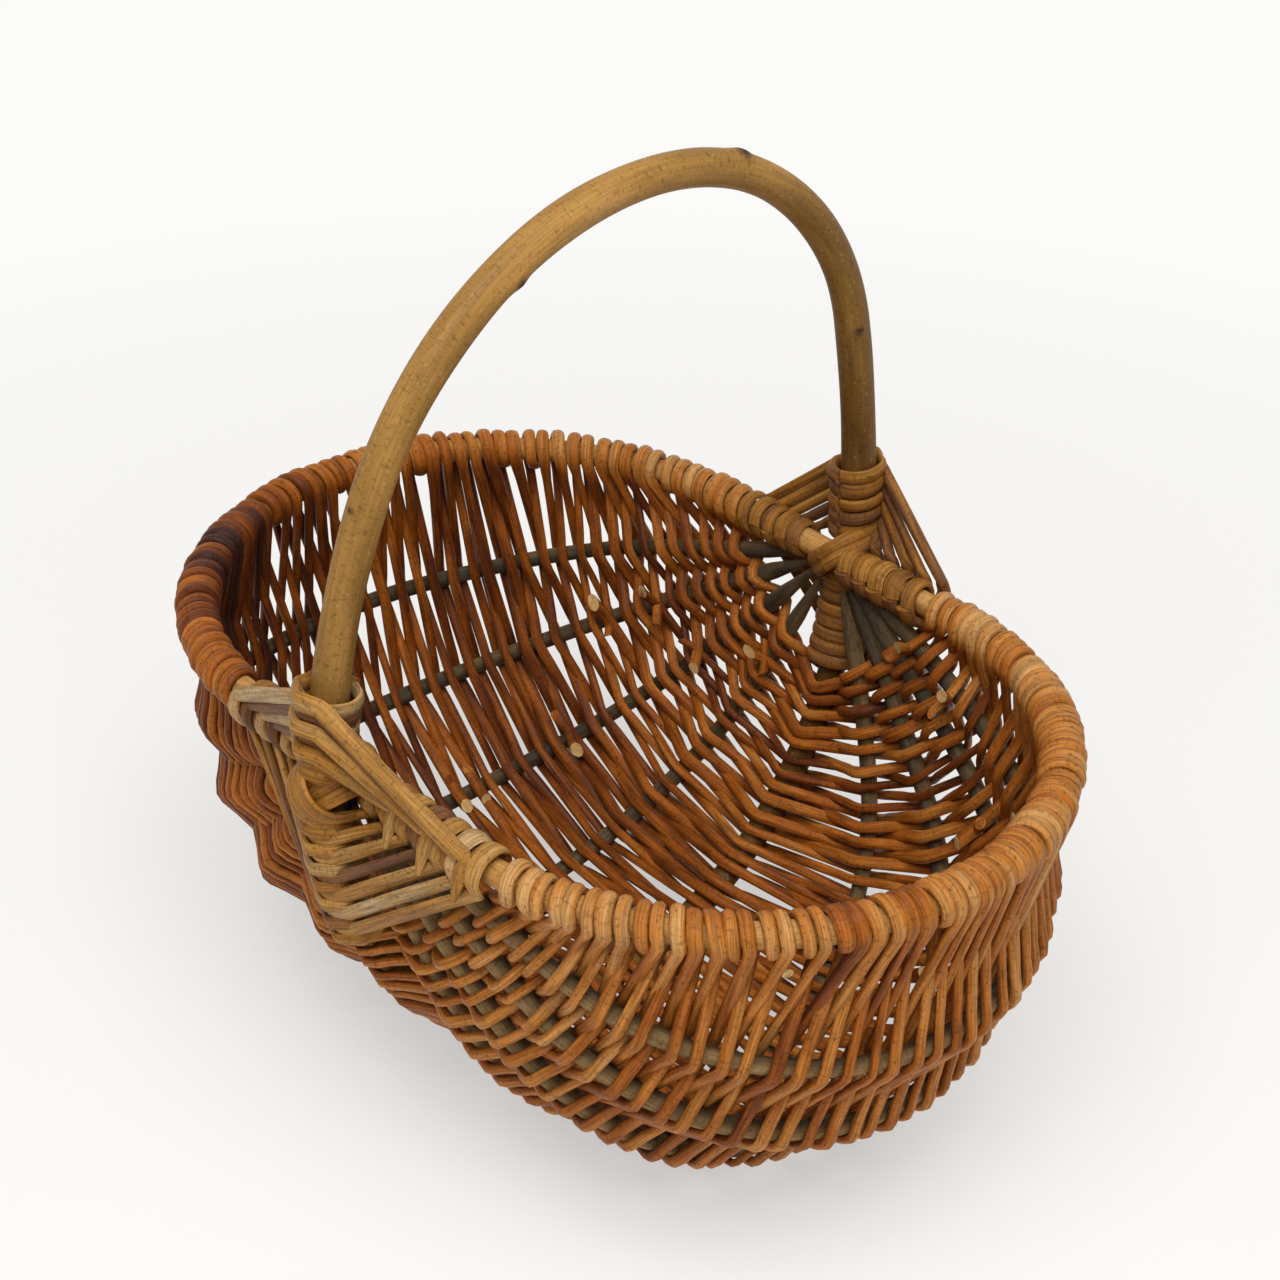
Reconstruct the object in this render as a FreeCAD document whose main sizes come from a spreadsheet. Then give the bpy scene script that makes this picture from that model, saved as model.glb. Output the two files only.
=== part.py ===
"""Rib basket with an arched handle, plaited from unpeeled rods.

Two bent hoops carry it. The upright hoop is handle above and keel below, the level hoop is the rim,
and a four-armed lashing ties them where they cross at the front and the rear. Pointed ribs spring
from the lashings, and weavers go from rim to rim in plain weave, over and under ribs and keel.
Frame: X along the length, Y from front to rear, Z up, origin on the floor under the middle.
"""
import FreeCAD
import Part
import Sketcher
import math
import os

V = FreeCAD.Vector

SIZES = {
    # Level hoop, measured on its centreline
    "rim_half_length": 162.0,
    "rim_half_width": 105.0,
    "rim_diameter": 8.6,
    # Upright hoop: the handle above the rim and the keel under it
    "handle_rise": 166.0,
    "handle_diameter": 12.2,
    "crown_offset": 13.0,
    "keel_depth": 137.0,
    "hoop_bend_ratio": 0.925,
    # Ribs, from the rim down to the keel, alike in both lobes
    "rib_diameter": 6.2,
    "rib_tip_diameter": 3.0,
    "rib_tip_length": 18.0,
    "rib_tuck": 36.0,
    "rib_bend_ratio": 0.94,
    "rib_one_angle": 20.0,
    "rib_two_angle": 33.5,
    "rib_three_angle": 49.0,
    "rib_four_angle": 66.0,
    "rib_one_reach": 170.0,
    "rib_two_reach": 173.0,
    "rib_three_reach": 169.0,
    "rib_four_reach": 156.0,
    # Weave
    "weaver_diameter": 4.0,
    "weaver_rows": 50,
    "weaver_tail": 7.0,
    "weaver_cut_gap": 2.0,
    "weave_rim_start": 65.0,
    "weave_keel_start": 77.0,
    "weave_edge_power": 1.6,
    # Lashings at the two crossings: spacings in strand thicknesses
    "lash_diameter": 3.4,
    "lash_rings": 4,
    "lash_start": 14.0,
    "lash_pass_spacing": 1.6,
    "lash_handle_spacing": 3.2,
    "lash_rim_spacing": 3.2,
    "lash_keel_spacing": 4.1,
    # Fits
    "clearance": 0.4,
    "base_flat": 1.0,
}

doc = FreeCAD.newDocument("rib_basket")
sheet = doc.addObject("Spreadsheet::Sheet", "Sizes")
for row, (alias, value) in enumerate(SIZES.items(), start=1):
    sheet.set("A%d" % row, alias)
    sheet.set("B%d" % row, str(value))
    sheet.setAlias("B%d" % row, alias)
doc.recompute()


def size(alias):
    """Value of a driving dimension, as the sheet holds it."""
    return float(getattr(sheet, alias))


# Curves of the frame

def wide_radius(short, long, tight_radius):
    """Radius of the wider arc of an oval's quarter, from its half sizes and its tighter arc."""
    return (short ** 2 + long ** 2 - 2 * long * tight_radius) / (2 * (short - tight_radius))


class Quarter:
    """Quarter of an oval from (width, 0) to (0, reach): a leg arc, then an end arc.

    The tighter arc is the ratio times the shorter of width and reach. A ratio of 1 makes the leg
    straight. Distances run along the curve from the leg's foot.
    """

    def __init__(self, width, reach, ratio):
        self.width = width
        self.reach = reach
        self.straight = ratio >= 1.0
        if self.straight:
            self.bend = min(width, reach)
            self.leg = reach - self.bend
            self.turn = 0.0
        else:
            if width <= reach:
                self.bend = ratio * width
                self.radius = wide_radius(width, reach, self.bend)
                self.turn = math.atan2(reach - self.bend, self.radius - width)
            else:
                self.radius = ratio * reach
                self.bend = wide_radius(reach, width, self.radius)
                self.turn = math.atan2(self.bend - reach, width - self.radius)
            self.leg = self.radius * self.turn
        self.length = self.leg + self.bend * (math.pi / 2 - self.turn)

    def at(self, distance):
        """Point and outward normal at a distance from the foot, in the oval's own plane."""
        if distance > self.leg:
            angle = self.turn + (distance - self.leg) / self.bend
            point = (self.bend * math.cos(angle), self.reach - self.bend + self.bend * math.sin(angle))
        elif self.straight:
            angle = 0.0
            point = (self.width, distance)
        else:
            angle = distance / self.radius
            point = (self.width - self.radius * (1 - math.cos(angle)), self.radius * math.sin(angle))
        return point, (math.cos(angle), math.sin(angle))


class Meridian:
    """Half oval from the front crossing to the rear one, swung down from the rim's plane."""

    def __init__(self, quarter, angle):
        self.quarter = quarter
        self.length = 2 * quarter.length
        self.out = V(math.cos(math.radians(angle)), 0, -math.sin(math.radians(angle)))

    def at(self, distance):
        """Centreline point and outward normal at a distance from the front crossing."""
        front = distance <= self.quarter.length
        point, normal = self.quarter.at(distance if front else self.length - distance)
        along = V(0, -1 if front else 1, 0)
        return along * point[0] + self.out * point[1], along * normal[0] + self.out * normal[1]


hoop_half_width = (size("rim_half_width") + size("rim_diameter") / 2
                   + size("handle_diameter") / 2 + size("clearance"))
rim_quarter = Quarter(size("rim_half_width"), size("rim_half_length"), 1.0)
keel_quarter = Quarter(hoop_half_width, size("keel_depth"), size("hoop_bend_ratio"))
front_arch = Quarter(hoop_half_width + size("crown_offset"), size("handle_rise"), size("hoop_bend_ratio"))
rear_arch = Quarter(hoop_half_width - size("crown_offset"), size("handle_rise"), size("hoop_bend_ratio"))

RIB_WORDS = ("one", "two", "three", "four")
rib_angles = [size("rib_%s_angle" % word) for word in RIB_WORDS]
rib_quarters = [Quarter(size("rim_half_width"), size("rib_%s_reach" % word), size("rib_bend_ratio"))
                for word in RIB_WORDS]
right_ribs = [Meridian(quarter, angle) for quarter, angle in zip(rib_quarters, rib_angles)]
left_ribs = [Meridian(quarter, 180 - angle) for quarter, angle in zip(rib_quarters, rib_angles)]

# The lowest rods, under the ribs or under the keel, stand on the floor on their worn undersides
rib_drop = max(quarter.reach * math.sin(math.radians(angle))
               for quarter, angle in zip(rib_quarters, rib_angles)) + size("rib_diameter") / 2
keel_drop = size("keel_depth") + size("handle_diameter") / 2
rim_height = max(rib_drop, keel_drop) + size("clearance") + size("weaver_diameter") - size("base_flat")
lift = FreeCAD.Placement(V(0, 0, rim_height), FreeCAD.Rotation())


# Hoops: round rods bent along tangent arcs

def origin_plane(body, role):
    """One of a body's own origin planes."""
    return [plane for plane in body.Origin.OriginFeatures if plane.Role == role][0]


def new_sketch(body, name, role):
    """Empty sketch on one of the body's origin planes."""
    sketch = body.newObject("Sketcher::SketchObject", name)
    sketch.AttachmentSupport = [(origin_plane(body, role), "")]
    sketch.MapMode = "FlatFace"
    return sketch


def constrain(sketch, name, formula, *constraint):
    """Named sketch dimension bound to a formula of the sheet's cells."""
    index = sketch.addConstraint(Sketcher.Constraint(*constraint))
    sketch.renameConstraint(index, name)
    sketch.setExpression("Constraints." + name, formula)


HOOP_SIDES = 10


def rod_section(body, name, role, place, place_formula, diameter):
    """Ten-sided section of a shaved rod, where the hoop's path starts on the first or second axis."""
    sketch = new_sketch(body, name, role)
    on_second_axis = role == "XY_Plane"
    centre = V(0, place, 0) if on_second_axis else V(place, 0, 0)
    radius = size(diameter) / 2
    turns = [2 * math.pi * number / HOOP_SIDES for number in range(HOOP_SIDES)]
    corners = [centre + V(radius * math.cos(turn), radius * math.sin(turn), 0) for turn in turns]
    circle = sketch.addGeometry(Part.Circle(centre, V(0, 0, 1), radius), True)
    sides = [sketch.addGeometry(Part.LineSegment(corner, beside))
             for corner, beside in zip(corners, corners[1:] + corners[:1])]
    for side, following in zip(sides, sides[1:] + sides[:1]):
        sketch.addConstraint(Sketcher.Constraint("Coincident", side, 2, following, 1))
        sketch.addConstraint(Sketcher.Constraint("PointOnObject", side, 1, circle))
    for side in sides[1:]:
        sketch.addConstraint(Sketcher.Constraint("Equal", sides[0], side))
    sketch.addConstraint(Sketcher.Constraint("Horizontal", circle, 3, sides[0], 1))
    sketch.addConstraint(Sketcher.Constraint("PointOnObject", circle, 3, -2 if on_second_axis else -1))
    kind = "DistanceY" if on_second_axis else "DistanceX"
    constrain(sketch, "place", place_formula, kind, -1, 1, circle, 3, place)
    constrain(sketch, "thickness", "Sizes." + diameter, "Diameter", circle, size(diameter))
    return sketch


def sweep(body, section, path):
    """Solid rod along the path."""
    pipe = body.newObject("PartDesign::AdditivePipe", body.Name + "_rod")
    pipe.Profile = section
    pipe.Spine = (path, ["Edge%d" % (number + 1) for number in range(path.GeometryCount)])
    body.Tip = pipe
    body.Placement = lift
    body.setExpression("Placement.Base.z", "Sizes.rim_height")


def add_arc(sketch, centre, radius, start, end):
    """Arc of the path, turning left from one angle to another."""
    circle = Part.Circle(V(centre[0], centre[1], 0), V(0, 0, 1), radius)
    return sketch.addGeometry(Part.ArcOfCircle(circle, start, end))


def bend_formula(width, reach):
    """Formula for the end arc's radius of a quarter of the upright hoop."""
    ratio = "Sizes.hoop_bend_ratio"
    tight = "%s * (%s)" % (ratio, width)
    squares = "(%s)^2 + %s^2 - 2 * (%s) * %s * %s" % (width, reach, width, ratio, reach)
    wide = "(%s) / (2 * %s * (1 - %s))" % (squares, reach, ratio)
    return "(%s <= %s ? %s : %s)" % (width, reach, tight, wide)


def handle_hoop():
    """Upright hoop: the handle's arch over the rim and the keel under it, outside the rim."""
    body = doc.addObject("PartDesign::Body", "handle_hoop")
    path = new_sketch(body, "handle_hoop_path", "YZ_Plane")
    crown = size("crown_offset")
    rise, depth, half = size("handle_rise"), size("keel_depth"), hoop_half_width
    pi = math.pi
    rear_leg = add_arc(path, (half - rear_arch.radius, 0), rear_arch.radius, 0, rear_arch.turn)
    rear_crown = add_arc(path, (crown, rise - rear_arch.bend), rear_arch.bend, rear_arch.turn, pi / 2)
    front_crown = add_arc(path, (crown, rise - front_arch.bend), front_arch.bend,
                          pi / 2, pi - front_arch.turn)
    front_leg = add_arc(path, (front_arch.radius - half, 0), front_arch.radius, pi - front_arch.turn, pi)
    front_keel = add_arc(path, (keel_quarter.radius - half, 0), keel_quarter.radius,
                         pi, pi + keel_quarter.turn)
    under_keel = add_arc(path, (0, keel_quarter.bend - depth), keel_quarter.bend,
                         pi + keel_quarter.turn, 2 * pi - keel_quarter.turn)
    rear_keel = add_arc(path, (half - keel_quarter.radius, 0), keel_quarter.radius,
                        2 * pi - keel_quarter.turn, 2 * pi)
    ring = [rear_leg, rear_crown, front_crown, front_leg, front_keel, under_keel, rear_keel]
    for arc, following in zip(ring, ring[1:] + ring[:1]):
        path.addConstraint(Sketcher.Constraint("Tangent", arc, 2, following, 1))
    for arc in (rear_leg, front_leg, front_keel, rear_keel):
        path.addConstraint(Sketcher.Constraint("PointOnObject", arc, 3, -1))
    path.addConstraint(Sketcher.Constraint("PointOnObject", under_keel, 3, -2))
    path.addConstraint(Sketcher.Constraint("Vertical", rear_crown, 3, front_crown, 3))
    width = "Sizes.hoop_half_width"
    constrain(path, "crown_offset", "Sizes.crown_offset", "DistanceX", -1, 1, rear_crown, 3, crown)
    constrain(path, "rear_width", width, "DistanceX", -1, 1, rear_leg, 1, half)
    constrain(path, "front_width", width, "DistanceX", front_leg, 2, -1, 1, half)
    constrain(path, "handle_rise", "Sizes.handle_rise", "DistanceY", -1, 1, rear_crown, 2, rise)
    constrain(path, "rear_bend", bend_formula(width + " - Sizes.crown_offset", "Sizes.handle_rise"),
              "Radius", rear_crown, rear_arch.bend)
    constrain(path, "front_bend", bend_formula(width + " + Sizes.crown_offset", "Sizes.handle_rise"),
              "Radius", front_crown, front_arch.bend)
    bend = bend_formula(width, "Sizes.keel_depth")
    constrain(path, "keel_bend", bend, "Radius", under_keel, keel_quarter.bend)
    constrain(path, "keel_centre", "Sizes.keel_depth - " + bend,
              "DistanceY", under_keel, 3, -1, 1, depth - keel_quarter.bend)
    section = rod_section(body, "handle_hoop_section", "XY_Plane", half, width, "handle_diameter")
    sweep(body, section, path)
    return body


def rim_hoop():
    """Level hoop: two round ends joined by straight sides."""
    body = doc.addObject("PartDesign::Body", "rim_hoop")
    path = new_sketch(body, "rim_hoop_path", "XY_Plane")
    half, bend = size("rim_half_length"), size("rim_half_width")
    side = half - bend
    right = add_arc(path, (side, 0), bend, -math.pi / 2, math.pi / 2)
    rear = path.addGeometry(Part.LineSegment(V(side, bend, 0), V(-side, bend, 0)))
    left = add_arc(path, (-side, 0), bend, math.pi / 2, 3 * math.pi / 2)
    front = path.addGeometry(Part.LineSegment(V(-side, -bend, 0), V(side, -bend, 0)))
    ring = [right, rear, left, front]
    for edge, following in zip(ring, ring[1:] + ring[:1]):
        path.addConstraint(Sketcher.Constraint("Tangent", edge, 2, following, 1))
    path.addConstraint(Sketcher.Constraint("Equal", right, left))
    for arc in (right, left):
        path.addConstraint(Sketcher.Constraint("PointOnObject", arc, 3, -1))
    straight = "Sizes.rim_half_length - Sizes.rim_half_width"
    constrain(path, "right_centre", straight, "DistanceX", -1, 1, right, 3, side)
    constrain(path, "left_centre", straight, "DistanceX", left, 3, -1, 1, side)
    constrain(path, "half_width", "Sizes.rim_half_width", "Radius", right, bend)
    section = rod_section(body, "rim_hoop_section", "YZ_Plane", bend, "Sizes.rim_half_width",
                          "rim_diameter")
    sweep(body, section, path)
    return body


# Rods: many-sided sticks that turn a little at each point of their line

def ring_of(centre, axis, radius, sides):
    """Regular ring of corners round a point, square to the axis."""
    helper = V(0, 0, 1) if abs(axis.z) < 0.9 else V(1, 0, 0)
    across = axis.cross(helper).normalize()
    upward = axis.cross(across)
    steps = [2 * math.pi * (number + 0.5) / sides for number in range(sides)]
    return [centre + across * (radius * math.cos(turn)) + upward * (radius * math.sin(turn))
            for turn in steps]


def rod(points, radius, sides, tip_scale=1.0):
    """Solid stick through the points, mitred at each; the first and last stretch may taper."""
    runs = [(after - before).normalize() for before, after in zip(points, points[1:])]
    first = ring_of(points[0], runs[0], radius, sides)
    rings = [first]
    for number, run in enumerate(runs):
        mitre = run + runs[number + 1] if number + 1 < len(runs) else run
        target = points[number + 1]
        rings.append([corner + run * ((target - corner).dot(mitre) / run.dot(mitre)) for corner in rings[-1]])
    for end in (0, -1):
        rings[end] = [points[end] + (corner - points[end]) * tip_scale for corner in rings[end]]
    faces = [Part.Face(Part.makePolygon(rings[0] + rings[0][:1])),
             Part.Face(Part.makePolygon(rings[-1] + rings[-1][:1]))]
    for near, far in zip(rings, rings[1:]):
        for corner in range(sides):
            beside = (corner + 1) % sides
            quad = [near[corner], near[beside], far[beside], far[corner], near[corner]]
            faces.append(Part.Face(Part.makePolygon(quad)))
    shell = Part.makeShell(faces)
    shell.sewShape()
    solid = Part.makeSolid(shell)
    if solid.Volume < 0:
        solid.reverse()
    return solid


def feature(label, solid):
    """Document object that holds one stick, raised to the rim's height."""
    piece = doc.addObject("Part::Feature", label)
    piece.Label = label
    piece.Shape = solid
    piece.Placement = lift
    return piece


RIB_SIDES = 8
RIB_STEPS = 16
RIB_SHOULDER = 0.1
ROD_SIDES = 6


def rib(label, meridian):
    """Rib with both ends whittled to blunt points and tucked in behind the lashings."""
    tuck, taper = size("rib_tuck"), size("rib_tip_length")
    first, last = tuck + taper, meridian.length - tuck - taper
    body = [meridian.at(first + (last - first) * step / RIB_STEPS)[0] for step in range(RIB_STEPS + 1)]
    tips = [meridian.at(tuck)[0], meridian.at(meridian.length - tuck)[0]]
    shoulders = [foot + (tip - foot) * RIB_SHOULDER for foot, tip in zip((body[0], body[-1]), tips)]
    points = [tips[0], shoulders[0]] + body + [shoulders[1], tips[1]]
    scale = size("rib_tip_diameter") / size("rib_diameter")
    return feature(label, rod(points, size("rib_diameter") / 2, RIB_SIDES, scale))


# Weave: every row crosses rim, ribs, keel, ribs and rim, and changes sides at each

rows = int(round(size("weaver_rows")))
rim_right = Meridian(rim_quarter, 0)
rim_left = Meridian(rim_quarter, 180)
keel = Meridian(keel_quarter, 90)
stakes = [rim_right] + right_ribs + [keel] + left_ribs[::-1] + [rim_left]
stake_angles = [0] + rib_angles + [90] + rib_angles[::-1] + [0]
stake_radii = ([size("rim_diameter") / 2] + [size("rib_diameter") / 2] * 4 + [size("handle_diameter") / 2]
               + [size("rib_diameter") / 2] * 4 + [size("rim_diameter") / 2])
LAST = len(stakes) - 1
weaver_radius = size("weaver_diameter") / 2


def weave_start(angle):
    """Distance from the crossing at which the weave begins: the rounded edge of the lashing."""
    turn = math.radians(angle)
    power = size("weave_edge_power")
    level = (math.cos(turn) / size("weave_rim_start")) ** power
    upright = (math.sin(turn) / size("weave_keel_start")) ** power
    return (level + upright) ** (-1 / power)


def stake_place(row, number):
    """Distance along a stake at which a row crosses it; the last rod's tail takes one place more."""
    start = weave_start(stake_angles[number])
    return start + (stakes[number].length - 2 * start) * (row + 0.5) / (rows + 1)


def stake_fit(number):
    """Distance between the centrelines of a stake and of a rod that lies against it."""
    return stake_radii[number] + size("clearance") + weaver_radius


def stand_off(row, number):
    """Distance of a row from a stake's centreline.

    Where the stakes are close the row slants more, so it has to stand off further to clear them.
    """
    centre = stakes[number].at(stake_place(row, number))[0]
    slants = []
    for other in (number - 1, number + 1):
        if 0 <= other <= LAST:
            beside = stakes[other].at(stake_place(row, other))[0]
            slants.append((stake_fit(number) + stake_fit(other)) / (beside - centre).Length)
    return stake_fit(number) * math.sqrt(1 + max(slants) ** 2)


def crossing(row, number):
    """Point of a row beside a stake, on the outside or the inside by turns."""
    stake, place = stakes[number], stake_place(row, number)
    centre, outward = stake.at(place)
    along = stake.at(place + 1)[0] - stake.at(place - 1)[0]
    beside = [stakes[other].at(stake_place(row, other))[0] for other in (number - 1, number + 1)]
    normal = along.cross(beside[1] - beside[0]).normalize()
    if normal.dot(outward) < 0:
        normal = -normal
    side = 1 if (row + number) % 2 == 0 else -1
    return centre + normal * (side * stand_off(row, number))


def over_rim(row, number, part, turn):
    """Point on the loop over the rim, part of the way from one row to the next."""
    centre, outward = stakes[number].at(stake_place(row + part, number))
    reach = max(stake_fit(number) / math.cos(math.pi / 6), stand_off(row + part, number))
    return centre + outward * (reach * math.cos(turn)) + V(0, 0, 1) * (reach * math.sin(turn))


LOOP = [(step / 3.0, math.pi * step / 3) for step in range(4)]


def weaver(number):
    """Rod that goes across in one row, loops over the left rim and comes back in the next."""
    row = 2 * number
    points = []
    entry, inner = over_rim(row, 0, 0, 0), crossing(row, 1)
    tail = size("weaver_tail")
    start = tail + size("weaver_cut_gap")
    points.append(entry + (inner - entry).normalize() * start)
    points += [crossing(row, stake) for stake in range(1, LAST)]
    points += [over_rim(row, LAST, part, turn) for part, turn in LOOP]
    points += [crossing(row + 1, stake) for stake in range(LAST - 1, 0, -1)]
    points += [over_rim(row + 1, 0, part, math.pi - turn) for part, turn in LOOP]
    following = crossing(row + 2, 1)
    points.append(points[-1] + (following - points[-1]).normalize() * tail)
    solid = rod(points, weaver_radius, ROD_SIDES)
    box = solid.BoundBox
    if box.ZMin < -rim_height:
        box.enlarge(weaver_radius)
        worn = Part.makeBox(box.XLength, box.YLength, -rim_height - box.ZMin, V(box.XMin, box.YMin, box.ZMin))
        solid = solid.cut(worn).Solids[0]
    return feature("weaver_%02d" % (number + 1), solid)


# Lashings: one strand that takes a full turn round each arm and then runs to the next.
# Angle round the arm in degrees, share of the way to the second pass, bulge in strand thicknesses
LASH_TURN = ((135, 0, 0), (60, 0, 0), (0, 0, 0), (-60, 0.5, 0), (-120, 1, 0),
             (-180, 1, 0), (-240, 1, 0.3), (-315, 1, 0.6))
LASH_HALF_STEP = math.radians(37.5)


def lashing(label, end):
    """Four-armed lashing outside the crossing at the front (end -1) or the rear (end 1)."""
    thickness = size("lash_diameter")
    loops = 4 * int(round(size("lash_rings")))
    arches = (front_arch if end < 0 else rear_arch, rim_quarter, keel_quarter, rim_quarter)
    directions = (V(0, 0, 1), V(-end, 0, 0), V(0, 0, -1), V(end, 0, 0))
    spacings = [thickness * size("lash_%s_spacing" % name) for name in ("handle", "rim", "keel", "rim")]
    arm_radii = [size("handle_diameter") / 2, size("rim_diameter") / 2] * 2
    reaches = [(radius + size("clearance") + thickness / 2) / math.cos(LASH_HALF_STEP)
               for radius in arm_radii]

    def arm(number, distance):
        """Centre, outward normal and direction of an arm at a distance from the crossing."""
        point, normal = arches[number].at(distance)
        outward, away = V(0, end, 0), directions[number]
        middle = V(0, size("crown_offset"), 0) if number == 0 else V(0, 0, 0)
        centre = middle + outward * point[0] + away * point[1]
        return centre, outward * normal[0] + away * normal[1], away * normal[0] - outward * normal[1]

    def face_level(ring):
        """How far out the strand lies on the rim's arms: level with the two arms beside them."""
        fronts = [arm(number, size("lash_start") + spacings[number] * ring)[0].y * end for number in (0, 2)]
        return sum(fronts) / 2 + reaches[0] * math.sin(math.pi / 3)

    points = []
    for loop in range(loops):
        number, ring = loop % 4, loop / 4.0
        place = size("lash_start") + spacings[number] * ring
        for degrees, shift, bulge in LASH_TURN:
            centre, outward, along = arm(number, place + shift * thickness * size("lash_pass_spacing"))
            forward = along.cross(outward)
            turn = math.radians(degrees)
            height = reaches[number] * math.sin(turn)
            if number % 2 and height > 0:
                height = face_level(ring) - centre.y * end
            points.append(centre + forward * (reaches[number] * math.cos(turn))
                          + outward * (height + bulge * thickness))
    print("%s: %d loops, least gap to itself %.2f mm" % (label, loops, least_gap(points, thickness)))
    return feature(label, rod(points, thickness / 2, ROD_SIDES))


GAP_SAMPLE = 0.8
GAP_NEIGHBOURS = 4


def least_gap(points, diameter):
    """Least distance between parts of one strand that are not neighbours, less its diameter."""
    samples = []
    travelled = 0.0
    for before, after in zip(points, points[1:]):
        length = (after - before).Length
        count = max(1, int(length / GAP_SAMPLE))
        samples += [(travelled + length * part / count, before + (after - before) * (part / count))
                    for part in range(count)]
        travelled += length
    least = travelled
    for number, (place, point) in enumerate(samples):
        for other_place, other in samples[number + 1:]:
            if other_place - place > GAP_NEIGHBOURS * diameter:
                least = min(least, (other - point).Length)
    return least - diameter


# Assembly

derived = {"hoop_half_width": "=rim_half_width + rim_diameter / 2 + handle_diameter / 2 + clearance",
           "rim_height": str(rim_height)}
for row, (alias, formula) in enumerate(derived.items(), start=len(SIZES) + 2):
    sheet.set("A%d" % row, alias)
    sheet.set("B%d" % row, formula)
    sheet.setAlias("B%d" % row, alias)
doc.recompute()

pieces = [handle_hoop(), rim_hoop()]
for side, meridians in (("right", right_ribs), ("left", left_ribs)):
    for number, meridian in enumerate(meridians, start=1):
        pieces.append(rib("rib_%s_%d" % (side, number), meridian))
pieces.append(lashing("front_lashing", -1))
pieces.append(lashing("rear_lashing", 1))
pieces += [weaver(number) for number in range(rows // 2)]
doc.recompute()

for item in doc.Objects:
    if "Invalid" in item.State or "Error" in item.State:
        raise RuntimeError("%s failed: %s" % (item.Name, item.State))
for piece in pieces:
    if piece.Shape.isNull() or not piece.Shape.isValid():
        raise RuntimeError("%s has no sound shape" % piece.Label)

os.makedirs("parts", exist_ok=True)
for piece in pieces:
    piece.Shape.exportStep("parts/%s.step" % piece.Label)
print("%d pieces, rim %.2f mm above the floor" % (len(pieces), rim_height))
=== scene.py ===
import collections
import math
import random

import bpy
from mathutils import Matrix, Vector


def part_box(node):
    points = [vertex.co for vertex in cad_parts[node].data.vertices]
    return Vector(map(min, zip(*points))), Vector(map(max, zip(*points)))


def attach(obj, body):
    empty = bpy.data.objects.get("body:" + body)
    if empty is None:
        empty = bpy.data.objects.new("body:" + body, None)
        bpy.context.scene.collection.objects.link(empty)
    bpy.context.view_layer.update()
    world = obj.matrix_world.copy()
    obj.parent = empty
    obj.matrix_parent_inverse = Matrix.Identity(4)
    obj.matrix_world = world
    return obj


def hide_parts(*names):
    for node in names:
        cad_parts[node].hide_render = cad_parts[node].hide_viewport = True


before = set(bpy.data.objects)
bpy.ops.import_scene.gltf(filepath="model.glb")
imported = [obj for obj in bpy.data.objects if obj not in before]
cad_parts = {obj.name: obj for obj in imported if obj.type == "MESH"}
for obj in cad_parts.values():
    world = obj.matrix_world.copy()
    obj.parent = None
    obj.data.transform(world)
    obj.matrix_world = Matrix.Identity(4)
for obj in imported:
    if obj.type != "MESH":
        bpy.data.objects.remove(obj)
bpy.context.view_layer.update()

# Upright hoop: one stout hazel rod with its bark on, bent green into a ring and scarfed where the
# weave hides it. The upper half is the handle, and the lower half, pared thinner, is the keel.
# All lengths are in mm until a mesh is made.
MM = 0.001
RIM_LEVEL = sum(corner.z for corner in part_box("rim_hoop")) / 2 / MM
RIM_HALF_LENGTH = 162.0
RIM_HALF_WIDTH = 105.0
RIM_RADIUS = 4.3
HANDLE_RADIUS = 6.1
KEEL_RADIUS = 4.8
KEEL_PARING = 45.0
HANDLE_RISE = 166.0
CROWN_OFFSET = 13.0
KEEL_DEPTH = 137.0
HOOP_PLAY = 0.4
HOOP_HALF_WIDTH = RIM_HALF_WIDTH + RIM_RADIUS + HANDLE_RADIUS + HOOP_PLAY
HOOP_BEND = 0.925
HOOP_WANDER = 0.35
HOOP_SPACING = 1.6
HOOP_SIDES = 28
FRONT, REAR = -1, 1
UPWARD, DOWNWARD = 1, -1
BASKET_MIDDLE = Vector((0, 0, RIM_LEVEL))

Station = collections.namedtuple("Station", "point normal half_width half_thick")


class BentQuarter:
    """Quarter of a bent rod's oval: a flat leg from (width, 0), then a round bend to (0, reach)."""

    def __init__(self, width, reach, ratio):
        self.width = width
        self.reach = reach
        self.bend = ratio * width
        self.leg_radius = (width ** 2 + reach ** 2 - 2 * reach * self.bend) / (2 * (width - self.bend))
        self.turn = math.atan2(reach - self.bend, self.leg_radius - width)
        self.leg = self.leg_radius * self.turn
        self.length = self.leg + self.bend * (math.pi / 2 - self.turn)

    def at(self, distance):
        """Point and outward normal at a distance along the rod from the leg's foot."""
        if distance <= self.leg:
            angle = distance / self.leg_radius
            point = (self.width - self.leg_radius * (1 - math.cos(angle)),
                     self.leg_radius * math.sin(angle))
        else:
            angle = self.turn + (distance - self.leg) / self.bend
            point = (self.bend * math.cos(angle),
                     self.reach - self.bend + self.bend * math.sin(angle))
        return point, (math.cos(angle), math.sin(angle))


front_arch = BentQuarter(HOOP_HALF_WIDTH + CROWN_OFFSET, HANDLE_RISE, HOOP_BEND)
rear_arch = BentQuarter(HOOP_HALF_WIDTH - CROWN_OFFSET, HANDLE_RISE, HOOP_BEND)
keel_quarter = BentQuarter(HOOP_HALF_WIDTH, KEEL_DEPTH, HOOP_BEND)


def upright_at(quarter, end, way, distance):
    """Centre, outward normal and direction of the upright hoop at a distance from the rim."""
    point, normal = quarter.at(distance)
    middle = CROWN_OFFSET if way == UPWARD else 0.0
    return (Vector((0, middle + end * point[0], RIM_LEVEL + way * point[1])),
            Vector((0, end * normal[0], way * normal[1])),
            Vector((0, -end * normal[1], way * normal[0])))


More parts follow.
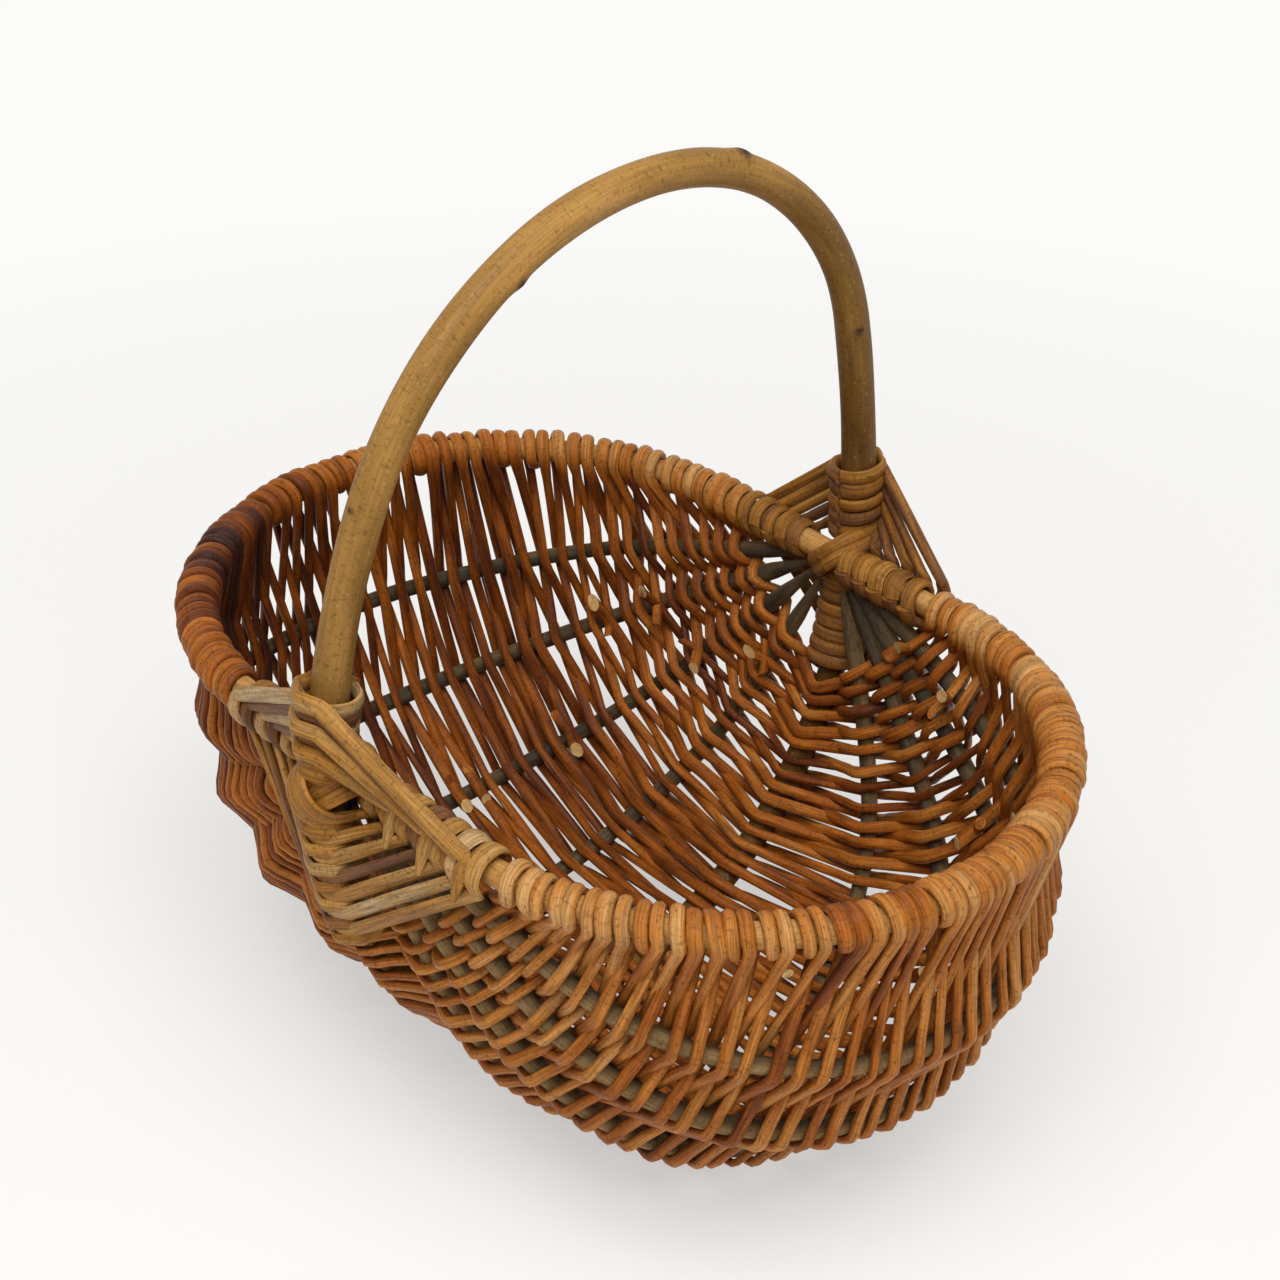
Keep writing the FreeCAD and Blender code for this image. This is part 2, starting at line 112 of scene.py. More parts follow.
def srgb(code):
    """Linear colour of an sRGB hex value."""
    parts = [int(code[place:place + 2], 16) / 255 for place in (1, 3, 5)]
    linear = [part / 12.92 if part <= 0.04045 else ((part + 0.055) / 1.055) ** 2.4 for part in parts]
    return (*linear, 1.0)


def node(tree, kind, inputs=(), stops=(), **settings):
    """Adds one node with its settings; each input is a plain value or the socket it is linked from."""
    made = tree.nodes.new(kind)
    for name, value in settings.items():
        setattr(made, name, value)
    for key, value in dict(inputs).items():
        if isinstance(value, bpy.types.NodeSocket):
            tree.links.new(value, made.inputs[key])
        else:
            made.inputs[key].default_value = value
    if stops:
        ramp = made.color_ramp
        ramp.elements[0].position = stops[0][0]
        ramp.elements[-1].position = stops[-1][0]
        for place, _ in stops[1:-1]:
            ramp.elements.new(place)
        for element, (_, code) in zip(ramp.elements, stops):
            element.color = srgb(code)
    return made


# Bark patterns: fibres and patches so many times longer than wide, cells of the specks in speck
# sizes across and along the rod, and wrinkles to the mm across and along it
FIBRE_STRETCH = 26
PATCH_STRETCH = 5
SPECK_CELL = (4.2, 6.5)
WRINKLES_PER_MM = (0.45, 1.1)
# Edges between the dark and the light of each pattern, and what the pattern makes of tone and relief
FIBRE_EDGES = (0.36, 0.62)
FIBRE_LIGHT = 1.1
WRINKLE_EDGES = (0.3, 0.46)
WRINKLE_SHADE = 0.62
WRINKLE_RELIEF = 0.5
SPECK_EDGES = (0.1, 0.2)
SPECK_RELIEF = 0.25
PATCH_SWING = 0.9
PATCH_EDGES = (0.3, 0.7)
PATCH_SHINE, PATCH_DULL = 0.08, 0.1
SCAR_COLOUR = "#2a1a12"


def bark_finish(name, tones, fibre_width, fibre_depth, fibre_shade, patch_length,
                speck_size, speck_colour, speck_share, roughness):
    """Bark of a rod: fibres and patches drawn out along it, specks, and tones that differ by rod.

    The mesh gives each point its place on the rod as if that were straight, in mm, so the fibres
    run along every bend. A scar is a knot or a bruise.
    """
    material = bpy.data.materials.new(name)
    material.use_nodes = True
    tree = material.node_tree
    tree.nodes.clear()
    place = node(tree, "ShaderNodeAttribute", attribute_name="bark").outputs["Vector"]
    tone = node(tree, "ShaderNodeAttribute", attribute_name="tone").outputs["Fac"]
    scar = node(tree, "ShaderNodeAttribute", attribute_name="scar").outputs["Fac"]

    def cells(across, along):
        """The place on the rod in cells of a pattern, so many to the mm across and along it."""
        return node(tree, "ShaderNodeVectorMath", {0: place, 1: (across, across, along)},
                    operation="MULTIPLY").outputs[0]

    def noise(across, along, detail, harshness):
        """Noise with so many cells to the mm across and along the rod."""
        return node(tree, "ShaderNodeTexNoise", {"Vector": cells(across, along), "Scale": 1.0,
                                                 "Detail": detail, "Roughness": harshness}).outputs["Fac"]

    def graded(value, edges, first, last):
        """Numbers from first to last as the value goes from edge to edge."""
        return node(tree, "ShaderNodeMapRange", {"Value": value, "From Min": edges[0], "From Max": edges[1],
                                                 "To Min": first, "To Max": last}).outputs["Result"]

    def scaled(value, factor, added=0.0):
        """The value times a factor, with something added."""
        return node(tree, "ShaderNodeMath", {0: value, 1: factor, 2: added},
                    operation="MULTIPLY_ADD").outputs[0]

    def tinted(share, colour, other, blend_type="MIX"):
        """A colour with a share of another over it."""
        return node(tree, "ShaderNodeMix", {0: share, 6: colour, 7: other}, data_type="RGBA",
                    blend_type=blend_type).outputs[2]

    fibre = noise(1 / fibre_width, 1 / (FIBRE_STRETCH * fibre_width), 3.0, 0.62)
    patch = noise(PATCH_STRETCH / patch_length, 1 / patch_length, 2.5, 0.55)
    wrinkle = noise(*WRINKLES_PER_MM, 2.0, 0.6)
    speck_place = cells(*(1 / (size * speck_size) for size in SPECK_CELL))
    speck_distance = node(tree, "ShaderNodeTexVoronoi", {"Vector": speck_place, "Scale": 1.0})
    speck = graded(speck_distance.outputs["Distance"], SPECK_EDGES, 1.0, 0.0)
    toned = scaled(patch, PATCH_SWING, scaled(tone, 1.0, -PATCH_SWING / 2))
    colour = node(tree, "ShaderNodeValToRGB", {"Fac": toned}, stops=tones).outputs["Color"]
    colour = tinted(1.0, colour, graded(fibre, FIBRE_EDGES, fibre_shade, FIBRE_LIGHT), "MULTIPLY")
    colour = tinted(1.0, colour, graded(wrinkle, WRINKLE_EDGES, WRINKLE_SHADE, 1.0), "MULTIPLY")
    colour = tinted(scaled(speck, speck_share), colour, srgb(speck_colour))
    colour = tinted(scar, colour, srgb(SCAR_COLOUR))
    shine = graded(patch, PATCH_EDGES, roughness - PATCH_SHINE, roughness + PATCH_DULL)
    relief = scaled(speck, SPECK_RELIEF, scaled(wrinkle, WRINKLE_RELIEF, fibre))
    bump = node(tree, "ShaderNodeBump", {"Height": relief, "Strength": 0.85, "Distance": fibre_depth * MM})
    shader = node(tree, "ShaderNodeBsdfPrincipled", {"Base Color": colour, "Roughness": shine,
                                                     "Normal": bump.outputs["Normal"], "IOR": 1.45,
                                                     "Specular IOR Level": 0.14})
    node(tree, "ShaderNodeOutputMaterial", {"Surface": shader.outputs["BSDF"]})
    return material


# Spread of the rods' random places in the bark, across and along
BARK_SPREAD = (400, 400, 4000)
# Swellings of a rod: waves round it, length of a wave along it and height as a share of the lobes
LOBE_WAVES = ((2, 31.0, 1.0), (3, -17.0, 0.7), (0, 9.0, 0.6))
KNOT_SWELL = 0.28
SCAR_EDGE = 1.5
SCAR_POWER = 4
SHARP_EDGE = 50


class RodBundle:
    """Rods that share one mesh, each swept along its own line with an oval section."""

    def __init__(self, seed):
        self.chance = random.Random(seed)
        self.corners = []
        self.faces = []
        self.cut_faces = []
        self.bark = []
        self.tone = []
        self.scar = []

    def add(self, stations, tone, sides, ring=False, slants=(0.0, 0.0), cuts=(True, True), knots=(),
            lobes=0.05, weather=0.0):
        """One rod through the stations; a ring has no ends, and other rods end in slanted cuts.

        The tone is a number or a function of the place, and a cut that is False keeps its bark.
        Painted light pales the side that faces out of the basket and painted shade darkens the one that
        faces in.
        """
        first = len(self.corners)
        offset = Vector([self.chance.uniform(0, spread) for spread in BARK_SPREAD])
        # The last of the four draws has no wave to shift
        phases = [self.chance.uniform(0, 2 * math.pi) for _ in range(4)]
        travelled = 0.0
        count = len(stations)
        upright = stations[0].normal
        for number, here in enumerate(stations):
            before = stations[number - 1] if ring or number > 0 else here
            after = stations[(number + 1) % count] if ring or number + 1 < count else here
            along = (after.point - before.point).normalized()
            facing = here.normal if here.normal.dot(upright) >= 0 else -here.normal
            upright = (facing - along * facing.dot(along)).normalized()
            sideways = along.cross(upright)
            slant = slants[0] if number == 0 else slants[1] if number + 1 == count else 0.0
            for side in range(sides):
                turn = 2 * math.pi * side / sides
                swell = 1 + lobes * sum(height * math.sin(waves * turn + phase + travelled / length)
                                        for (waves, length, height), phase in zip(LOBE_WAVES, phases))
                x = here.half_width * swell * math.cos(turn)
                y = here.half_thick * swell * math.sin(turn)
                outward = sideways * x + upright * y
                corner = here.point + outward + along * (slant * y)
                scar = 0.0
                for centre, size in knots:
                    near = (corner - centre).length / size
                    corner = corner + outward.normalized() * (KNOT_SWELL * size * math.exp(-near ** 2))
                    scar = max(scar, math.exp(-(near * SCAR_EDGE) ** SCAR_POWER))
                corner.z = max(corner.z, 0.0)
                self.corners.append(corner * MM)
                self.bark.append(offset + Vector((x, y, travelled)))
                # Painted light and shade: paler where a side faces out of the basket, darker where it faces
                # in
                faces_out = outward.normalized().dot((here.point - BASKET_MIDDLE).normalized())
                self.tone.append((tone(here.point) if callable(tone) else tone) + weather * faces_out)
                self.scar.append(scar)
            travelled += (after.point - here.point).length
        for number in range(count if ring else count - 1):
            near = first + number * sides
            far = first + (number + 1) % count * sides
            for side in range(sides):
                beside = (side + 1) % sides
                self.faces.append((near + side, near + beside, far + beside, far + side))
        if not ring:
            last = first + (count - 1) * sides
            for start, order, cut in ((first, range(sides - 1, -1, -1), cuts[0]),
                                      (last, range(sides), cuts[1])):
                if cut:
                    self.cut_faces.append(len(self.faces))
                self.faces.append(tuple(start + side for side in order))

    def build(self, name, finish, cut_finish, slot, *nodes):
        """Makes the mesh object, which stands for the CAD nodes, with the finish and, on cut ends, the cut
        finish.
        The slot is not used.
        """
        mesh = bpy.data.meshes.new(name)
        mesh.from_pydata(self.corners, [], self.faces)
        mesh.materials.append(finish)
        mesh.materials.append(cut_finish)
        for number in self.cut_faces:
            mesh.polygons[number].material_index = 1
        mesh.polygons.foreach_set("use_smooth", [True] * len(self.faces))
        mesh.attributes.new("bark", "FLOAT_VECTOR", "POINT").data.foreach_set(
            "vector", [part for place in self.bark for part in place])
        mesh.attributes.new("tone", "FLOAT", "POINT").data.foreach_set("value", self.tone)
        mesh.attributes.new("scar", "FLOAT", "POINT").data.foreach_set("value", self.scar)
        mesh.set_sharp_from_angle(angle=math.radians(SHARP_EDGE))
        piece = bpy.data.objects.new(name, mesh)
        bpy.context.scene.collection.objects.link(piece)
        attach(piece, "root")
        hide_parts(*nodes)


# Hazel bark is thin and satin, olive to honey brown, with fine length cracks and pale lenticels
hazel_bark = bark_finish("hazel_bark",
                         [(0.0, "#5f3f1b"), (0.3, "#84602d"), (0.6, "#ad8143"), (1.0, "#cfa26c")],
                         fibre_width=0.8, fibre_depth=0.12, fibre_shade=0.84, patch_length=60.0,
                         speck_size=0.6, speck_colour="#d6b27c", speck_share=0.18, roughness=0.5)

# Cut willow is pale cream wood, matt and faintly ringed, where a knife has gone through the bark
cut_willow = bark_finish("cut_willow", [(0.0, "#a97f48"), (0.5, "#cda468"), (1.0, "#e0c594")],
                         fibre_width=0.5, fibre_depth=0.1, fibre_shade=0.8, patch_length=9.0,
                         speck_size=0.9, speck_colour="#a9845a", speck_share=0.4, roughness=0.7)

# Waves of a drift along a whole rod: least and most of them, and their share of its size
WANDER_COUNTS = (2, 5)
WANDER_HEIGHTS = (0.4, 1.0)


def wander(chance, length, size):
    """Slow sideways drift along a rod of the given length, as two smooth waves each way."""
    waves = [(chance.randint(*WANDER_COUNTS), chance.uniform(0, 2 * math.pi),
              chance.uniform(*WANDER_HEIGHTS) * size) for _ in range(4)]

    def drift(distance):
        turn = 2 * math.pi * distance / length
        values = [height * math.sin(count * turn + phase) for count, phase, height in waves]
        return values[0] + values[1], values[2] + values[3]
    return drift


hoop_stretches = ((rear_arch, REAR, UPWARD, True), (front_arch, FRONT, UPWARD, False),
                  (keel_quarter, FRONT, DOWNWARD, True), (keel_quarter, REAR, DOWNWARD, False))
hoop_length = sum(stretch[0].length for stretch in hoop_stretches)
hoop_drift = wander(random.Random(11), hoop_length, HOOP_WANDER)
hoop_stations = []
passed = 0.0
for quarter, end, way, outbound in hoop_stretches:
    steps = round(quarter.length / HOOP_SPACING)
    for step in range(steps):
        gone = quarter.length * step / steps
        distance = gone if outbound else quarter.length - gone
        centre, outward, _ = upright_at(quarter, end, way, distance)
        radius = HANDLE_RADIUS
        if way == DOWNWARD:
            radius -= (HANDLE_RADIUS - KEEL_RADIUS) * min(1.0, distance / KEEL_PARING)
        shift = hoop_drift(passed + gone)
        hoop_stations.append(Station(centre + outward * shift[0] + Vector((shift[1], 0, 0)), outward,
                                     radius, radius))
    passed += quarter.length

# Knots where side twigs were cut away: arch, distance up from the rim, facing and size
HOOP_KNOTS = ((rear_arch, REAR, 185, (0.25, 0.1, 1.0), 4.2),
              (front_arch, FRONT, 176, (0.8, 0.2, -0.35), 3.0),
              (rear_arch, REAR, 91, (0.9, -0.4, 0.2), 2.4),
              (front_arch, FRONT, 93, (0.1, -0.95, 0.1), 1.8))
hoop_knots = []
for quarter, end, distance, facing, knot_size in HOOP_KNOTS:
    centre, _, along = upright_at(quarter, end, UPWARD, distance)
    facing = Vector(facing)
    facing = (facing - along * facing.dot(along)).normalized()
    hoop_knots.append((centre + facing * HANDLE_RADIUS, knot_size))

# Tone of the hoop at the rim, the painted light it gains up to the crown, and what it loses from front to
# rear, partly browner bark and partly painted shade
HOOP_TONE = 0.26
CROWN_PAINTED_LIGHT = 0.33
REAR_BROWNER_AND_SHADED = 0.22
REAR_BEGINS, REAR_FULL = 15, 90


def rise(value, low, high):
    """0 up to the low value, 1 from the high one, and a straight slope between them."""
    return min(1.0, max(0.0, (value - low) / (high - low)))


def hoop_tone(point):
    """Painted light pales the bark from the front foot up to the crown; down the rear it is browner, partly
    its own tone and partly painted shade.
    """
    return (HOOP_TONE + CROWN_PAINTED_LIGHT * (point.z - RIM_LEVEL) / HANDLE_RISE
            - REAR_BROWNER_AND_SHADED * rise(point.y, REAR_BEGINS, REAR_FULL))


upright_hoop = RodBundle(21)
upright_hoop.add(hoop_stations, hoop_tone, HOOP_SIDES, ring=True, knots=hoop_knots, lobes=0.022)
upright_hoop.build("handle_and_keel", hazel_bark, cut_willow, "handle_bark", "handle_hoop")

# Rim: a level hoop of a thinner rod, two straight sides and two round ends. It lies inside the
# upright hoop at both crossings, and only two short lengths beside each lashing stay bare.
RIM_BEND = 0.999
RIM_WANDER = 0.3
RIM_TONE = 0.55
RIM_SPACING = 3.0
RIM_SIDES = 18
rim_quarter = BentQuarter(RIM_HALF_WIDTH, RIM_HALF_LENGTH, RIM_BEND)


def meridian_at(quarter, angle, distance):
    """Centre and outward normal on a half oval from the front crossing to the rear one.

    The angle in degrees swings it down from the right side of the rim's plane.
    """
    front = distance <= quarter.length
    point, normal = quarter.at(distance if front else 2 * quarter.length - distance)
    end = FRONT if front else REAR
    out = Vector((math.cos(math.radians(angle)), 0, -math.sin(math.radians(angle))))
    return (Vector((0, end * point[0], RIM_LEVEL)) + out * point[1],
            Vector((0, end * normal[0], 0)) + out * normal[1])


rim_stations = []
rim_drift = wander(random.Random(12), 4 * rim_quarter.length, RIM_WANDER)
steps = round(2 * rim_quarter.length / RIM_SPACING)
for angle, outbound in ((0, True), (180, False)):
    for step in range(steps):
        gone = 2 * rim_quarter.length * step / steps
        distance = gone if outbound else 2 * rim_quarter.length - gone
        centre, outward = meridian_at(rim_quarter, angle, distance)
        shift = rim_drift(gone if outbound else 2 * rim_quarter.length + gone)
        rim_stations.append(Station(centre + outward * shift[0] + Vector((0, 0, shift[1])), outward,
                                    RIM_RADIUS, RIM_RADIUS))

# The rim rod is willow whose bark has rubbed pale and golden where it shows
rubbed_willow_bark = bark_finish("rubbed_willow_bark",
                                 [(0.0, "#7f5526"), (0.4, "#b57f40"), (1.0, "#d3a566")],
                                 fibre_width=0.6, fibre_depth=0.12, fibre_shade=0.75, patch_length=40.0,
                                 speck_size=0.7, speck_colour="#6d4a28", speck_share=0.4, roughness=0.52)
rim_hoop = RodBundle(22)
rim_hoop.add(rim_stations, RIM_TONE, RIM_SIDES, ring=True, lobes=0.03)
rim_hoop.build("rim_rod", rubbed_willow_bark, cut_willow, "rim_bark", "rim_hoop")

# Ribs: four straight-grown rods a side, bent from crossing to crossing. Both ends are whittled
# to points and pushed in behind the lashings.
RIB_RADIUS = 3.1
RIB_VARIETY = (0.94, 1.06)
RIB_WANDER = 0.35
RIB_TONES = (0.27, 0.47)
RIB_TIP = 0.4
RIB_TIP_LENGTH = 20.0
RIB_TUCK = 14.0
RIB_BEND = 0.94
RIB_SPACING = 3.2
RIB_SIDES = 14
RIB_ANGLES = (20.0, 33.5, 49.0, 66.0)
RIB_REACHES = (170.0, 173.0, 169.0, 156.0)
rib_quarters = [BentQuarter(RIM_HALF_WIDTH, reach, RIB_BEND) for reach in RIB_REACHES]

# Older willow bark on the ribs is grey olive and dull, with coarse length cracks
grey_willow_bark = bark_finish("grey_willow_bark",
                               [(0.0, "#42382b"), (0.35, "#715a3b"), (0.65, "#94764c"), (1.0, "#ad9066")],
                               fibre_width=0.6, fibre_depth=0.18, fibre_shade=0.65, patch_length=30.0,
                               speck_size=0.6, speck_colour="#3a2a18", speck_share=0.5, roughness=0.6)
for side, mirror in (("right", False), ("left", True)):
    for number, (quarter, angle) in enumerate(zip(rib_quarters, RIB_ANGLES), start=1):
        swing = 180 - angle if mirror else angle
        length = 2 * quarter.length
        chance = random.Random("%s rib %d" % (side, number))
        drift = wander(chance, length, RIB_WANDER)
        thickness = RIB_RADIUS * chance.uniform(*RIB_VARIETY)
        steps = round((length - 2 * RIB_TUCK) / RIB_SPACING)
        stations = []
        for step in range(steps + 1):
            distance = RIB_TUCK + (length - 2 * RIB_TUCK) * step / steps
            centre, outward = meridian_at(quarter, swing, distance)
            from_end = min(distance, length - distance) - RIB_TUCK
            taper = RIB_TIP + (1 - RIB_TIP) * min(1.0, from_end / RIB_TIP_LENGTH)
            shift = drift(distance)
            beside = outward.cross(Vector((0, 1, 0)))
            stations.append(Station(centre + outward * shift[0] + beside * shift[1], outward,
                                    thickness * taper, thickness * taper))
        rib = RodBundle("%s rib bark %d" % (side, number))
        # Painted shade darkens the side of each rib that faces into the basket, and painted light pales its
        # outer side
        rib.add(stations, chance.uniform(*RIB_TONES), RIB_SIDES, cuts=(False, False), lobes=0.035,
                weather=0.36)
        rib.build("rib_rod_%s_%d" % (side, number), grey_willow_bark, cut_willow, "rib_bark",
                  "rib_%s_%d" % (side, number))

# Lashings: at each crossing flattened willow rods run from arm to arm in widening squares, with a
# full turn round handle, rim, keel and rim. They hold the hoops and hide the ends of the ribs.
LASH_RINGS = {FRONT: 7, REAR: 5}
# Where the wraps begin and end on handle, rim, keel and rim, in winding order
LASH_REACHES = {FRONT: ((7.0, 36.0), (9.5, 69.0), (7.0, 60.0), (9.5, 58.0)),
                REAR: ((7.0, 36.0), (14.0, 45.0), (7.0, 50.0), (8.5, 47.5))}
LASH_HALF_WIDTH = 2.45
LASH_HALF_THICK = 1.3
LASH_WIDTHS = (0.85, 1.1)
LASH_THICKNESSES = (0.9, 1.1)
STRAND_FILL = 0.5
WRAP_FILL = 0.44
LEAST_FLATTENING = 0.1
LASH_PILE = 0.22
LASH_LIFT = 1.6
LASH_SLACK = 3.0
LASH_SPACING = 1.6
LASH_SIDES = 12
# Turn round an arm in degrees from its leading side, share of a ring's step, lift over the strand
# before, and share of the flattening that fills the step; the strands meet behind the arms
LASH_TURN = ((128, 0.0, 0.0, 0.0), (90, 0.0, 0.0, 0.2), (40, 0.0, 0.0, 0.8), (-10, 0.05, 0.0, 1.0),
             (-55, 0.15, 0.0, 1.0), (-90, 0.25, 0.0, 1.0), (-125, 0.35, 0.0, 1.0), (-170, 0.45, 0.0, 1.0),
             (-220, 0.5, 0.3, 0.7), (-270, 0.55, 0.8, 0.2), (-308, 0.55, 0.8, 0.0))
LASH_BEHIND = 5
# Broad straps lie over the front lashing from the handle to the rim on the right, cut to points,
# with strands between them darkened as painted shade, and broad strands fan out at the rear on that side
STRAP_RINGS = (2, 4, 6)
STRAP_WIDTH = 1.25
STRAP_THICK = 1.45
STRAP_LIFT = 0.6
STRAP_TAIL = 9.0
STRAP_POINT_WIDTH, STRAP_POINT_THICK = 0.35, 0.5
# The keel has a close coil of its own under the rear lashing
COIL_TURNS = 8
COIL_PITCH = 5.2
COIL_PILE = 2.2
# Ties over the crossing: loop round both hoops as distances along a diagonal and out from the middle
TIE_LOOP = ((0.0, 99.3), (6.2, 100.2), (9.8, 105.0), (11.2, 112.0), (9.8, 118.5), (5.5, 122.3),
            (0.0, 123.3), (-5.5, 122.3), (-9.8, 118.5), (-11.2, 112.0), (-9.8, 105.0), (-6.2, 100.2),
            (0.0, 99.3))
TIE_MIDDLE = 111.0
TIE_APART = 4.3
TIE_STRANDS = {FRONT: (-1, 0, 1), REAR: (-0.5, 0.5)}
# Slope of each tie's diagonal, and how far it stands out over the crossing
TIE_DIAGONALS = {FRONT: ((1, 0.8), (-1, 3.4)), REAR: ((1, 0.0),)}

# Pairs of knots that each stage of the blend between four points spans
BLEND_STAGES = (((0, 1), (1, 2), (2, 3)), ((0, 2), (1, 3)), ((1, 2),))
LONG_STRETCH = 0.4


def between(points, share):
    """Point a share of the way from the second of four points to the third, on a smooth line."""
    knots = [0.0]
    for near, far in zip(points, points[1:]):
        knots.append(knots[-1] + max((far - near).length, 1e-6) ** 0.5)
    time = knots[1] + (knots[2] - knots[1]) * share
    for stage in BLEND_STAGES:
        points = [near.lerp(far, (time - knots[start]) / (knots[stop] - knots[start]))
                  for (start, stop), near, far in zip(stage, points, points[1:])]
    return points[0]


def blend(near, far, share):
    """Station a share of the way from one to another."""
    facing = far.normal if far.normal.dot(near.normal) >= 0 else -far.normal
    return Station(near.point.lerp(far.point, share), near.normal.lerp(facing, share),
                   near.half_width + (far.half_width - near.half_width) * share,
                   near.half_thick + (far.half_thick - near.half_thick) * share)


def taut(stations, slack):
    """The stations with more of them, so that long stretches run straight and bend near their ends."""
    tight = []
    for near, far in zip(stations, stations[1:]):
        tight.append(near)
        share = slack / (far.point - near.point).length
        if share < LONG_STRETCH:
            tight += [blend(near, far, share), blend(near, far, 1 - share)]
    return tight + [stations[-1]]


def smooth(stations, spacing):
    """Finer stations on a smooth line through the given ones."""
    points = [station.point for station in stations]
    points = [points[0] * 2 - points[1]] + points + [points[-1] * 2 - points[-2]]
    fine = []
    for number, (near, far) in enumerate(zip(stations, stations[1:])):
        count = max(2, round((far.point - near.point).length / spacing))
        for step in range(count):
            share = step / count
            fine.append(blend(near, far, share)._replace(point=between(points[number:number + 4], share)))
    return fine + [stations[-1]]


def lash_arms(end):
    """The four arms of a crossing in winding order: centre, outward normal and direction by distance."""
    arch = front_arch if end == FRONT else rear_arch

    def rim_arm(side):
        def at(distance):
            point, normal = rim_quarter.at(distance)
            return (Vector((side * point[1], end * point[0], RIM_LEVEL)),
                    Vector((side * normal[1], end * normal[0], 0)),
                    Vector((side * normal[0], -end * normal[1], 0)))
        return at, RIM_RADIUS

    def upright_arm(quarter, way):
        return lambda distance: upright_at(quarter, end, way, distance), HANDLE_RADIUS

    return upright_arm(arch, UPWARD), rim_arm(-end), upright_arm(keel_quarter, DOWNWARD), rim_arm(end)


def round_arm(arm, place, step, turns, width, thick, pile):
    """Stations of a strand round an arm, from a place on it and a step along it to the next ring."""
    at, arm_radius = arm
    stations = []
    for degrees, share, lift, flattening in turns:
        centre, outward, along = at(place + step * share)
        turn = math.radians(degrees)
        radial = along.cross(outward) * math.cos(turn) + outward * math.sin(turn)
        gap = arm_radius + thick * (1 + LASH_LIFT * lift) + pile
        half_width = width + flattening * max(LEAST_FLATTENING * width, WRAP_FILL * step - width)
        stations.append(Station(centre + radial * gap, radial, half_width, thick))
    return stations


# Split and flattened willow on the lashings is tan to golden, some strands grey or plum brown
lashing_willow = bark_finish("flattened_willow",
                             [(0.0, "#4b2b1e"), (0.25, "#7a4f30"), (0.5, "#a06a28"), (0.75, "#b88848"),
                              (1.0, "#bba27c")],
                             fibre_width=0.7, fibre_depth=0.25, fibre_shade=0.55, patch_length=34.0,
                             speck_size=0.6, speck_colour="#4a2c1c", speck_share=0.55, roughness=0.5)
# Tones of the strands ring by ring from handle to rim, rim to keel, keel to rim and rim to handle
# The dark tones between the front straps are painted shade
LASH_TONES_AND_SHADE = {FRONT: ((0.5, 0.5, 0.68, 0.34, 0.66, 0.34, 0.62), (0.55, 0.6, 0.68, 0.28, 0.66, 0.86, 0.62),
                      (0.45, 0.6, 0.8, 0.45, 0.76, 0.32, 0.55), (0.6, 0.7, 0.72, 0.2, 0.86, 0.22, 0.9)),
              REAR: ((0.45, 0.3, 0.5, 0.4, 0.5), (0.4, 0.5, 0.35, 0.5, 0.45),
                     (0.5, 0.45, 0.55, 0.45, 0.5), (0.3, 0.25, 0.4, 0.3, 0.36))}
TIE_TONES = (0.42, 0.5, 0.56)
for end_name, end in (("front", FRONT), ("rear", REAR)):
    bundle = RodBundle("%s lashing" % end_name)
    chance = random.Random("%s strands" % end_name)
    arms = lash_arms(end)
    for diagonal, over in TIE_DIAGONALS[end]:
        for strand in TIE_STRANDS[end]:
            slope = Vector((diagonal, 0, 1)).normalized()
            beside = Vector((1, 0, -diagonal)).normalized() * (strand * TIE_APART)
            stations = []
            for across, out in TIE_LOOP:
                radial = (slope * across + Vector((0, end * (out - TIE_MIDDLE), 0))).normalized()
                lift = over * max(0.0, radial.y * end)
                point = slope * across + Vector((0, end * (out + lift), RIM_LEVEL)) + beside
                stations.append(Station(point, radial, LASH_HALF_WIDTH, LASH_HALF_THICK))
            bundle.add(smooth(stations, LASH_SPACING), chance.choice(TIE_TONES), LASH_SIDES,
                       cuts=(False, False))
    if end == REAR:
        turns = [(-45 * eighth, eighth / 8, 0.0, 1.0) for eighth in range(8 * COIL_TURNS + 1)]
        stations = round_arm(arms[2], LASH_REACHES[end][2][0], COIL_PITCH, turns, LASH_HALF_WIDTH,
                             LASH_HALF_THICK, COIL_PILE)
        bundle.add(smooth(stations, LASH_SPACING), chance.choice(TIE_TONES), LASH_SIDES)
    for ring in range(LASH_RINGS[end]):
        for sector in range(4):
            onward = (sector + 1) % 4
            strap = end == FRONT and sector == 0 and ring in STRAP_RINGS
            broad = strap or end == REAR and sector == 3
            starts = [LASH_REACHES[end][arm][0] for arm in (sector, onward)]
            strides = [(LASH_REACHES[end][arm][1] - start) / LASH_RINGS[end]
                       for arm, start in zip((sector, onward), starts)]
            apart = strides[0] * strides[1] / math.hypot(*strides)
            width = max(LASH_HALF_WIDTH, STRAND_FILL * apart) * chance.uniform(*LASH_WIDTHS)
            width *= STRAP_WIDTH if broad else 1.0
            thick = LASH_HALF_THICK * chance.uniform(*LASH_THICKNESSES) * (STRAP_THICK if broad else 1.0)
            pile = LASH_PILE * ring + (STRAP_LIFT if strap else 0.0)
            away = LASH_TURN[LASH_BEHIND:]
            round_next = LASH_TURN[:2 if strap else LASH_BEHIND + 1]
            stations = (round_arm(arms[sector], starts[0] + strides[0] * ring, strides[0], away,
                                  width, thick, pile)
                        + round_arm(arms[onward], starts[1] + strides[1] * ring, strides[1], round_next,
                                    width, thick, pile))
            if strap:
                last = stations[-1]
                heading = (last.point - stations[-2].point).normalized()
                stations.append(Station(last.point + heading * STRAP_TAIL, last.normal,
                                        STRAP_POINT_WIDTH * width, STRAP_POINT_THICK * thick))
            bundle.add(smooth(taut(stations, LASH_SLACK), LASH_SPACING), LASH_TONES_AND_SHADE[end][sector][ring],
                       LASH_SIDES, cuts=(False, strap))
    bundle.build("%s_lashing_strands" % end_name, lashing_willow, cut_willow, "lashing_strand",
                 "%s_lashing" % end_name)

